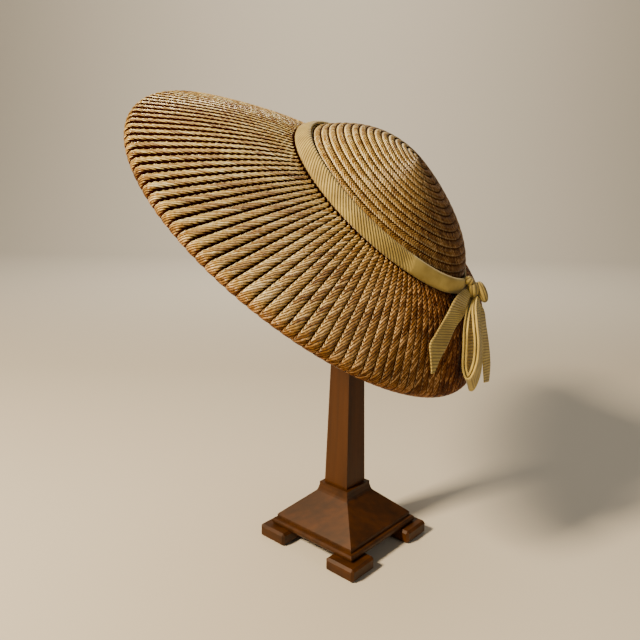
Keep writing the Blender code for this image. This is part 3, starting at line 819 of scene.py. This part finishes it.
band_angle = -math.tau * np.arange(BAND_COLUMNS) / BAND_COLUMNS
section = smooth_path(BAND_SECTION, BAND_ROWS)
up_share = np.repeat(section[:, :1], BAND_COLUMNS, axis=1)
out_share = np.repeat(section[:, 1:], BAND_COLUMNS, axis=1)
middle_of_plain = 0.5 * (PLAIN_FROM + PLAIN_TO)
half_plain = 0.5 * (PLAIN_TO - PLAIN_FROM)
from_plain = np.abs(away_from(band_angle, middle_of_plain)) / half_plain
is_plain = np.clip((PLAIN_FADE[0] - from_plain) / PLAIN_FADE[1], 0.0, 1.0)
band, _, _ = band_at(band_angle, up_share, out_share * (1.0 + PLAIN_SWELL * is_plain))
band_line = band[BAND_TOP_ROW]
band_run = np.cumsum(np.linalg.norm(np.diff(band_line, axis=0, append=band_line[:1]), axis=-1))
band_cord = (band_run - up_share * BAND_WIDTH * math.tan(math.radians(CORD_SLANT))) / CORD_PITCH
band_fields = {
    "cord": [band_cord],
    "plain": [np.broadcast_to(is_plain, band_cord.shape)],
}
band_mesh = grid_mesh("ribbon_round_crown", [on_stand(band)], wrap=True, values=band_fields)
band_piece = add_piece("ribbon_round_crown", band_mesh, ribbon)
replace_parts(band_piece, "ribbon_band")


# Bow: the same ribbon tied at the back. One loop hangs down with corded, piped edges, the
# near tail is cut to a point and the far one straight; the knot is pulled folds of ribbon.

KNOT_DEEP = 0.0115
KNOT_GAP = 0.0003
NEAR_TAIL_LENGTH = 0.0785
FAR_TAIL_LENGTH = 0.0880
TAIL_LIFT = 0.0038
LOOP_LENGTH = 0.0860
LOOP_DEPTH = 0.0245
RIBBON_THICK = 0.0012
PIPING = 0.0006
PIPING_SPREAD = 1.2
PIPED_EDGE = 0.09
EDGE_ROUND = 0.08
EDGE_LEAST = 0.02
LOOP_FACES = (-0.0014, 0.0014)
RIBBON_ROWS = 220
RIBBON_COLUMNS = 15
NEAR_TAIL_EDGES = (
    # left down, left round, left off, right down, right round, right off
    (0.163, -0.4, 1.90, 0.173, 0.4, 1.90),
    (0.10, -4.0, 2.40, 0.14, -1.8, 2.40),
    (0.10, -11.0, 2.10, 0.18, -6.0, 2.20),
    (0.175, -18.8, 1.55, 0.25, -10.6, 1.70),
    (0.34, -26.2, 1.20, 0.334, -14.2, 1.25),
    (0.47, -30.2, 1.05, 0.447, -20.6, 1.05),
    (0.58, -32.8, 1.00, 0.54, -23.5, 1.00),
    (0.68, -34.8, 1.00, 0.64, -25.8, 1.00),
    (0.80, -33.9, 1.05, 0.77, -28.9, 1.05),
    (0.95, -32.4, 1.10, 0.94, -31.3, 1.10),
)
FAR_TAIL_EDGES = (
    # left down, left round, left off, right down, right round, right off
    (0.15, 1.0, 1.50, 0.15, 2.6, 1.50),
    (0.28, 3.0, 1.35, 0.31, 7.0, 1.65),
    (0.46, 2.0, 1.00, 0.49, 8.0, 1.30),
    (0.64, 2.0, 1.10, 0.685, 8.0, 2.05),
    (0.86, 3.0, 2.05, 0.87, 8.0, 3.25),
    (1.01, 3.0, 3.30, 1.05, 8.0, 4.30),
)
LOOP_EDGES = (
    # left down, left round, left off, right down, right round, right off
    (0.17, -1.2, 0.28, 0.17, 0.4, 0.28),
    (0.25, -9.0, 0.24, 0.25, -4.0, 0.24),
    (0.42, -15.2, 0.24, 0.42, -9.2, 0.24),
    (0.61, -16.4, 0.24, 0.61, -11.0, 0.24),
    (0.75, -16.6, 0.27, 0.79, -11.4, 0.27),
    (0.82, -16.6, 0.36, 0.93, -11.4, 0.36),
    (0.85, -16.8, 0.48, 0.98, -11.6, 0.45),
    (0.79, -17.0, 0.60, 0.92, -12.0, 0.54),
    (0.68, -17.0, 0.68, 0.80, -12.2, 0.60),
    (0.54, -17.0, 0.69, 0.62, -12.5, 0.61),
    (0.40, -15.5, 0.60, 0.42, -11.0, 0.53),
    (0.26, -10.0, 0.46, 0.25, -4.5, 0.43),
    (0.18, -1.2, 0.40, 0.18, 0.4, 0.40),
)


def over_brim(degrees, distance, lift):
    """A point a distance down the brim from the crown and lifted off it, also past its edge."""
    angle = np.array([math.radians(degrees)])
    share = np.linspace(0.0, 1.0, 17)
    line = brim_at(angle, share)[0][:, 0]
    run = np.concatenate([[0.0], np.cumsum(np.linalg.norm(np.diff(line, axis=0), axis=-1))])
    here, along, out = brim_at(angle, [np.interp(distance, run, share)])
    return here[0, 0] + along[0, 0] * max(0.0, distance - run[-1]) + out[0, 0] * lift


def ribbon_grid(table, length, lift, piping, layer):
    """A flat ribbon with two faces: points, cord phase, and where it is plain."""
    left = [over_brim(KNOT_ANGLE + r[1], r[0] * length, r[2] * lift) for r in table]
    right = [over_brim(KNOT_ANGLE + r[4], r[3] * length, r[5] * lift) for r in table]
    left = smooth_path(left, RIBBON_ROWS)
    right = smooth_path(right, RIBBON_ROWS)
    middle = 0.5 * (left + right)
    along = unit(np.gradient(middle, axis=0))
    face = unit(np.cross(along, right - left))
    share = np.linspace(0.0, 1.0, RIBBON_COLUMNS)
    edge = np.minimum(share, 1.0 - share)
    width = np.linalg.norm(right - left, axis=-1)
    bead = 0.0
    if piping:
        bead = np.exp(-(edge * width[:, None] / (PIPING_SPREAD * piping)) ** 2) * piping
    thick = 0.5 * RIBBON_THICK * np.minimum(1.0, (edge + EDGE_LEAST) / EDGE_ROUND) ** 0.5 + bead
    base = left[:, None] + (right - left)[:, None] * share[None, :, None] + face[:, None] * layer
    front = base + face[:, None] * thick[..., None]
    back = base - face[:, None] * thick[..., None]
    ring = np.concatenate([front, back[:, ::-1]], axis=1)
    steps = np.linalg.norm(np.diff(middle, axis=0), axis=-1)
    run = np.concatenate([[0.0], np.cumsum(steps)])
    cord = np.repeat((run / TAIL_CORD_PITCH)[:, None], ring.shape[1], axis=1)
    on_edge = np.concatenate([edge, edge[::-1]]) < (PIPED_EDGE if piping else -1.0)
    plain = np.broadcast_to(np.maximum(on_edge, TAIL_PLAIN), cord.shape)
    return ring, cord, plain


def add_ribbon(name, node, table, length, lift, piping=0.0, layers=(0.0,)):
    """A flat ribbon of one or more layers in place of a node, its ends closed."""
    grids = []
    fields = {"cord": [], "plain": []}
    for layer in layers:
        ring, cord, plain = ribbon_grid(table, length, lift, piping, layer)
        ends = np.repeat(ring[[0, -1]].mean(axis=1, keepdims=True), ring.shape[1], axis=1)
        grids.append(on_stand(np.concatenate([ends[:1], ring, ends[1:]])))
        fields["cord"].append(np.concatenate([cord[:1], cord, cord[-1:]]))
        fields["plain"].append(np.concatenate([plain[:1], plain, plain[-1:]]))
    piece = add_piece(name, grid_mesh(name, grids, wrap=True, values=fields), ribbon)
    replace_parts(piece, node)
    return piece


near_tail = add_ribbon(
    "bow_near_tail_ribbon", "bow_tail_near", NEAR_TAIL_EDGES, NEAR_TAIL_LENGTH, TAIL_LIFT
)
far_tail = add_ribbon(
    "bow_far_tail_ribbon", "bow_tail_far", FAR_TAIL_EDGES, FAR_TAIL_LENGTH, TAIL_LIFT
)
loop = add_ribbon(
    "bow_loop_ribbon", "bow_loop", LOOP_EDGES, LOOP_LENGTH, LOOP_DEPTH, PIPING, LOOP_FACES
)

knot_angle = np.array([math.radians(KNOT_ANGLE)])
half = np.array([[0.5]])
knot_face, knot_up, knot_out = (v[0, 0] for v in band_at(knot_angle, half, 2.0 * half))
knot_around = unit(np.cross(knot_up, knot_out))
knot_axes = np.stack([knot_around, knot_up, knot_out])
knot_centre = knot_face + knot_out * (0.5 * KNOT_DEEP + KNOT_GAP)
KNOT_FOLDS = (
    # around, up, out, wide, tall, deep, tilt outward at its foot, cords round it
    (0.0, 0.0, 0.0, 0.0125, 0.0145, 0.0108, 20.0, 9.0),
    (-0.0030, 0.0072, -0.0048, 0.0078, 0.0074, 0.0092, -25.0, 7.0),
    (0.0050, -0.0007, 0.0072, 0.0085, 0.0190, 0.0086, 40.0, 8.0),
)
FOLD_BLUNT = 0.8
CREASE_DEPTH = 0.10
CREASE_WIDE = 0.30


def fold_grid(place, size, tilt, cords):
    """A soft lump of pulled ribbon with its cords drawn together at both ends."""
    round_it = np.linspace(0.0, math.tau, 97)[:-1]
    down = np.linspace(0.0, math.pi, 33)[:, None]
    crease = 1.0 - CREASE_DEPTH * np.exp(-(np.sin(1.5 * round_it + 0.4) / CREASE_WIDE) ** 2)
    ring = np.sin(down) ** FOLD_BLUNT * crease
    level = np.cos(down) + 0.0 * round_it
    shape = np.stack([ring * np.cos(round_it), level, ring * np.sin(round_it)], -1)
    shape = shape * 0.5 * np.array(size)
    lean = np.array(Matrix.Rotation(math.radians(tilt), 3, "X"))
    cord = cords * round_it / math.tau + 0.0 * down
    return knot_centre + (shape @ lean + np.array(place)) @ knot_axes, cord


fold_grids = []
fold_cords = []
for row in KNOT_FOLDS:
    lump, cord = fold_grid(row[:3], row[3:6], row[6], row[7])
    fold_grids.append(on_stand(lump))
    fold_cords.append(cord)
fold_fields = {"cord": fold_cords, "plain": [np.zeros(cord.shape) for cord in fold_cords]}
knot_mesh = grid_mesh("bow_knot_folds", fold_grids, wrap=True, values=fold_fields)
knot = add_piece("bow_knot_folds", knot_mesh, ribbon)
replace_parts(knot, "bow_knot", "bow_fold")


# Stand: solid wood, sawn and planed square, stained warm brown and varnished. The frame's
# own solids stay, with the sharp edges eased and the grain drawn along each piece.

WOOD_EDGE = 0.0006
GRAIN_WIDTH = 0.0055556
GRAIN_LENGTH = 0.142857
BROAD_GRAIN = 0.2
WOOD_TONES = ((0.25, "#1E0D00"), (0.45, "#301800"), (0.60, "#3E2000"), (0.80, "#502C02"))


def wood_material(name, grain_along):
    """Dark stained wood with a thin varnish: low sheen, and streaks along the given axis."""
    material, shader = new_material(name)
    place = add_node(material, "ShaderNodeTexCoord").outputs["Object"]
    stretch = [1.0 / GRAIN_WIDTH] * 3
    stretch[grain_along] = 1.0 / GRAIN_LENGTH
    fine_place = add_node(material, "ShaderNodeMapping", {"Vector": place, "Scale": stretch})
    fine = add_node(
        material,
        "ShaderNodeTexNoise",
        {"Vector": fine_place.outputs[0], "Scale": 1.0, "Detail": 6.0},
    )
    broad_stretch = [v * BROAD_GRAIN for v in stretch]
    broad_place = add_node(material, "ShaderNodeMapping", {"Vector": place, "Scale": broad_stretch})
    broad = add_node(
        material,
        "ShaderNodeTexNoise",
        {"Vector": broad_place.outputs[0], "Scale": 1.0, "Detail": 3.0},
    )
    fine_part = add_node(
        material, "ShaderNodeMath", {0: fine.outputs[0], 1: 0.45}, operation="MULTIPLY"
    ).outputs[0]
    total = add_node(
        material,
        "ShaderNodeMath",
        {0: broad.outputs[0], 1: 0.55, 2: fine_part},
        operation="MULTIPLY_ADD",
    ).outputs[0]
    colour = add_node(material, "ShaderNodeValToRGB", {0: total})
    fill_ramp(colour, WOOD_TONES)
    material.node_tree.links.new(colour.outputs[0], shader.inputs["Base Color"])
    relief = add_node(material, "ShaderNodeBump", {"Height": total, "Distance": 0.0002, "Strength": 0.4})
    material.node_tree.links.new(relief.outputs[0], shader.inputs["Normal"])
    shader.inputs["Roughness"].default_value = 0.50
    shader.inputs["Specular IOR Level"].default_value = 0.22
    shader.inputs["Coat Weight"].default_value = 0.04
    shader.inputs["Coat Roughness"].default_value = 0.18
    return material


upright_wood = wood_material("stained_wood_upright", 2)
level_wood = wood_material("stained_wood_level", 0)
for name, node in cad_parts.items():
    if not name.startswith("stand"):
        continue
    wood = upright_wood if name == "stand_post" else level_wood
    for slot in node.material_slots:
        slot.material = wood
    if name != "stand_rest":
        bevel = node.modifiers.new("eased_edges", "BEVEL")
        bevel.width = WOOD_EDGE
        bevel.segments = 2
        bevel.limit_method = "ANGLE"
        bevel.angle_limit = math.radians(12.0)


# Studio: a pale floor that sweeps up behind, and soft light from the upper left.

SWEEP_RADIUS = 1.2
FLOOR_HALF = 4.0
SWEEP_BACK = 2.2
SWEEP_STEPS = 24
BACKDROP_TOP = 4.0

floor_line = [(-FLOOR_HALF, 0.0)]
for i in range(SWEEP_STEPS + 1):
    turn = 0.5 * math.pi * i / SWEEP_STEPS
    rise = SWEEP_RADIUS * (1.0 - math.cos(turn))
    floor_line.append((SWEEP_BACK + SWEEP_RADIUS * math.sin(turn), rise))
floor_line.append((SWEEP_BACK + SWEEP_RADIUS, BACKDROP_TOP))
floor_points = np.array([[(x, y, z) for x in (-FLOOR_HALF, FLOOR_HALF)] for y, z in floor_line])
floor_material, shader = new_material("pale_studio_paper")
shader.inputs["Base Color"].default_value = linear("#BDB7AB")
shader.inputs["Roughness"].default_value = 0.9
floor = bpy.data.objects.new("studio_floor", grid_mesh("studio_floor", [floor_points]))
floor.data.materials.append(floor_material)
bpy.context.scene.collection.objects.link(floor)

LIGHTS = (
    # name, place, aimed at, size, power, colour
    ("key_light", (-1.05, -0.75, 1.25), (0.0, 0.0, 0.25), 0.26, 84.0, "#FFE6BE"),
    ("fill_light", (1.3, -1.2, 0.8), (0.0, 0.0, 0.25), 1.2, 5.0, "#FFF0DC"),
    ("top_light", (0.1, 0.5, 1.6), (0.0, 0.0, 0.25), 0.9, 8.0, "#FFF7EA"),
    ("backdrop_light", (0.0, 1.2, 1.8), (0.0, 3.4, 1.0), 1.5, 70.0, "#FFF4E4"),
)
for name, place, aim, size, power, colour in LIGHTS:
    lamp = bpy.data.lights.new(name, "AREA")
    lamp.size = size
    lamp.energy = power
    lamp.color = linear(colour)[:3]
    holder = bpy.data.objects.new(name, lamp)
    spot = Vector(place)
    holder.location = spot
    holder.rotation_euler = (spot - Vector(aim)).to_track_quat("Z", "Y").to_euler()
    bpy.context.scene.collection.objects.link(holder)
world = bpy.data.worlds.new("soft_room")
bpy.context.scene.world = world
world.use_nodes = True
world.node_tree.nodes["Background"].inputs["Color"].default_value = linear("#E4DED2")
world.node_tree.nodes["Background"].inputs["Strength"].default_value = 0.20


# Camera: where the photograph was taken from, measured from the stand's post.

CAMERA_DOWN = 12.53
CAMERA_ROLL = 0.86
CAMERA_AIM = (-0.0263, 0.0, 0.2161)
CAMERA_AWAY = 0.5876
CAMERA_LENS = 36.06

down = math.radians(CAMERA_DOWN)
roll = math.radians(CAMERA_ROLL)
ahead = Vector((0.0, math.cos(down), -math.sin(down)))
level = Vector((1.0, 0.0, 0.0))
above = Vector((0.0, math.sin(down), math.cos(down)))
right = level * math.cos(roll) + above * math.sin(roll)
up = above * math.cos(roll) - level * math.sin(roll)
camera_data = bpy.data.cameras.new("photo_camera")
camera_data.sensor_width = 36.0
camera_data.lens = CAMERA_LENS
camera = bpy.data.objects.new("photo_camera", camera_data)
place = Vector(CAMERA_AIM) + Vector((*POST_AXIS, 0.0)) - ahead * CAMERA_AWAY
camera.matrix_world = Matrix.Translation(place) @ Matrix((right, up, -ahead)).transposed().to_4x4()
bpy.context.scene.collection.objects.link(camera)
bpy.context.scene.camera = camera
